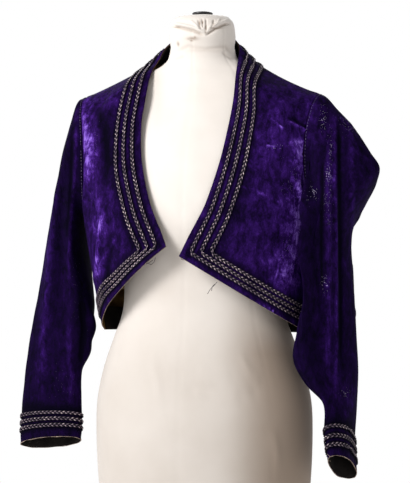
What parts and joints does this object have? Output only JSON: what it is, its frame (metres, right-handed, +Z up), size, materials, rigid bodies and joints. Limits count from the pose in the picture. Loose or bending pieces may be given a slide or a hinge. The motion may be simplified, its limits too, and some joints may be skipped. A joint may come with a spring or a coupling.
{
  "type": "bolero jacket on a dress form",
  "caption": "Short velvet bolero jacket, open at the front, with full-headed long sleeves and plaited braid along its edges, shown on a limbless dress form.",
  "frame": {"origin": "centre of the dress form's flat underside", "axes": "+Z up, the wearer faces -Y, the wearer's left is +X"},
  "size_m": [0.6067, 0.242, 0.8698],
  "materials": {
    "velvet": "crushed velvet pile",
    "braid": "tarnished metallic plait",
    "dark_cotton": "matt",
    "lining": "worn sateen",
    "calico": "matt cotton",
    "black_paint": "satin"
  },
  "bodies": {
    "root": {"dress_form": "calico", "pole_cap": "black_paint", "front_left": "velvet", "front_right": "velvet", "back": "velvet", "sleeve_left": "velvet", "sleeve_right": "velvet", "braid_back_hem_1": "braid", "braid_back_hem_2": "braid", "braid_back_hem_3": "braid", "braid_back_neck_1": "braid", "braid_back_neck_2": "braid", "braid_back_neck_3": "braid", "braid_cuff_left_1": "braid", "braid_cuff_left_2": "braid", "braid_cuff_left_3": "braid", "braid_cuff_right_1": "braid", "braid_cuff_right_2": "braid", "braid_cuff_right_3": "braid", "braid_front_left_1": "braid", "braid_front_left_2": "braid", "braid_front_left_3": "braid", "braid_front_right_1": "braid", "braid_front_right_2": "braid", "braid_front_right_3": "braid", "hem_facing": "dark_cotton", "neck_facing": "dark_cotton", "cuff_facing_left": "dark_cotton", "cuff_facing_right": "dark_cotton", "back_lining": "lining"}
  },
  "joints": []
}
